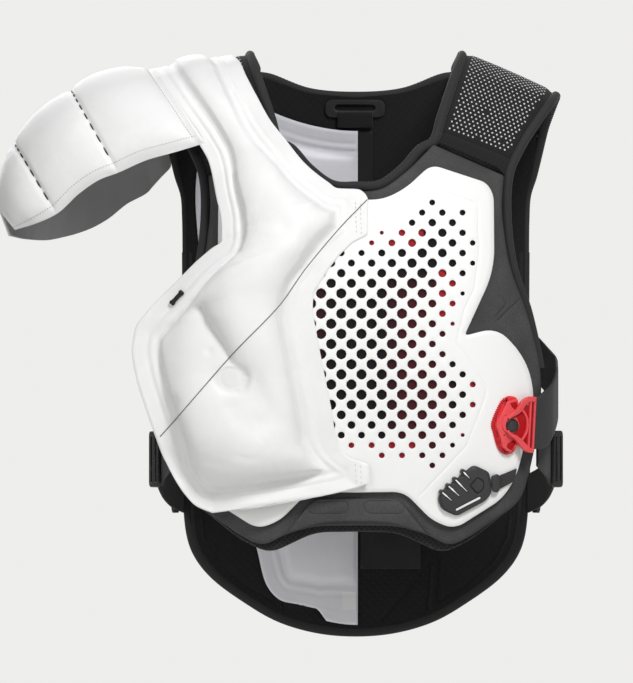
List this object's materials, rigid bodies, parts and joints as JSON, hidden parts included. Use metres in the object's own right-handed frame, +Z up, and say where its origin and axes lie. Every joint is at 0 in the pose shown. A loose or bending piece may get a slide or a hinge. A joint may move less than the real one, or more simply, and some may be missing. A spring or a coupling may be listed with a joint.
{
  "type": "airbag vest",
  "caption": "Riding vest with a perforated white chest plate on a foam front, padded back, mesh shoulder straps and side buckle, one half of its white airbag inflated outside the shell.",
  "frame": {"origin": "between the shoulders, on the mid plane, at the height where the two straps rest on the wearer", "axes": "+Z up along the wearer's body, -Y out of the chest plate, +X to the right as seen from the front"},
  "size_m": [0.5012, 0.3149, 0.5169],
  "materials": {
    "plate_white": "smooth moulded white shell, satin",
    "foam_grey": "moulded charcoal foam, fine matt grain",
    "cloth_black": "black textile laminate, matt",
    "cloth_edge": "dark grey elastic edge binding",
    "strap_mesh": "black mesh with pale dots",
    "backing_red": "dark red and black open textile",
    "bag_white": "coated white airbag cloth, slight sheen",
    "lining_grey": "grey woven lining",
    "closure_red": "glossy red moulding",
    "hard_black": "black moulded plastic, fine grain",
    "light_guide": "clear white light guide",
    "webbing_grey": "woven charcoal webbing",
    "label_white": "blank white label"
  },
  "bodies": {
    "root": {"front_liner": "cloth_black", "front_panel": "foam_grey", "plate_backing": "backing_red", "chest_plate": "plate_white", "hem_trim": "foam_grey", "back_panel": "cloth_black", "neck_binding": "cloth_edge", "back_binding": "cloth_edge", "arm_binding_right": "cloth_edge", "arm_binding_left": "cloth_edge", "shoulder_strap_right": "strap_mesh", "shoulder_strap_left": "strap_mesh", "airbag_front": "bag_white", "airbag_back": "bag_white", "airbag_shoulder": "bag_white", "shoulder_lining": "lining_grey", "side_strap_right": "webbing_grey", "side_strap_left": "webbing_grey", "adjuster_strap_right": "webbing_grey", "adjuster_strap_left": "webbing_grey", "lower_strap_right": "cloth_black", "lower_strap_left": "cloth_black", "triglide_right": "hard_black", "triglide_left": "hard_black", "strap_loop_right": "hard_black", "strap_loop_left": "hard_black", "buckle_knob": "closure_red", "buckle_frame": "closure_red", "buckle_cap": "hard_black", "buckle_left": "closure_red", "module_body": "hard_black", "module_button": "hard_black", "light_guide_1": "light_guide", "light_guide_2": "light_guide", "light_guide_3": "light_guide", "light_guide_4": "light_guide", "light_bar": "light_guide", "lead_clip": "hard_black", "lead_strap": "webbing_grey", "hanger_patch": "hard_black", "hanger_loop": "cloth_black", "neck_label": "cloth_black", "care_label": "cloth_black", "airbag_label": "label_white", "airbag_toggle": "hard_black"}
  },
  "joints": []
}
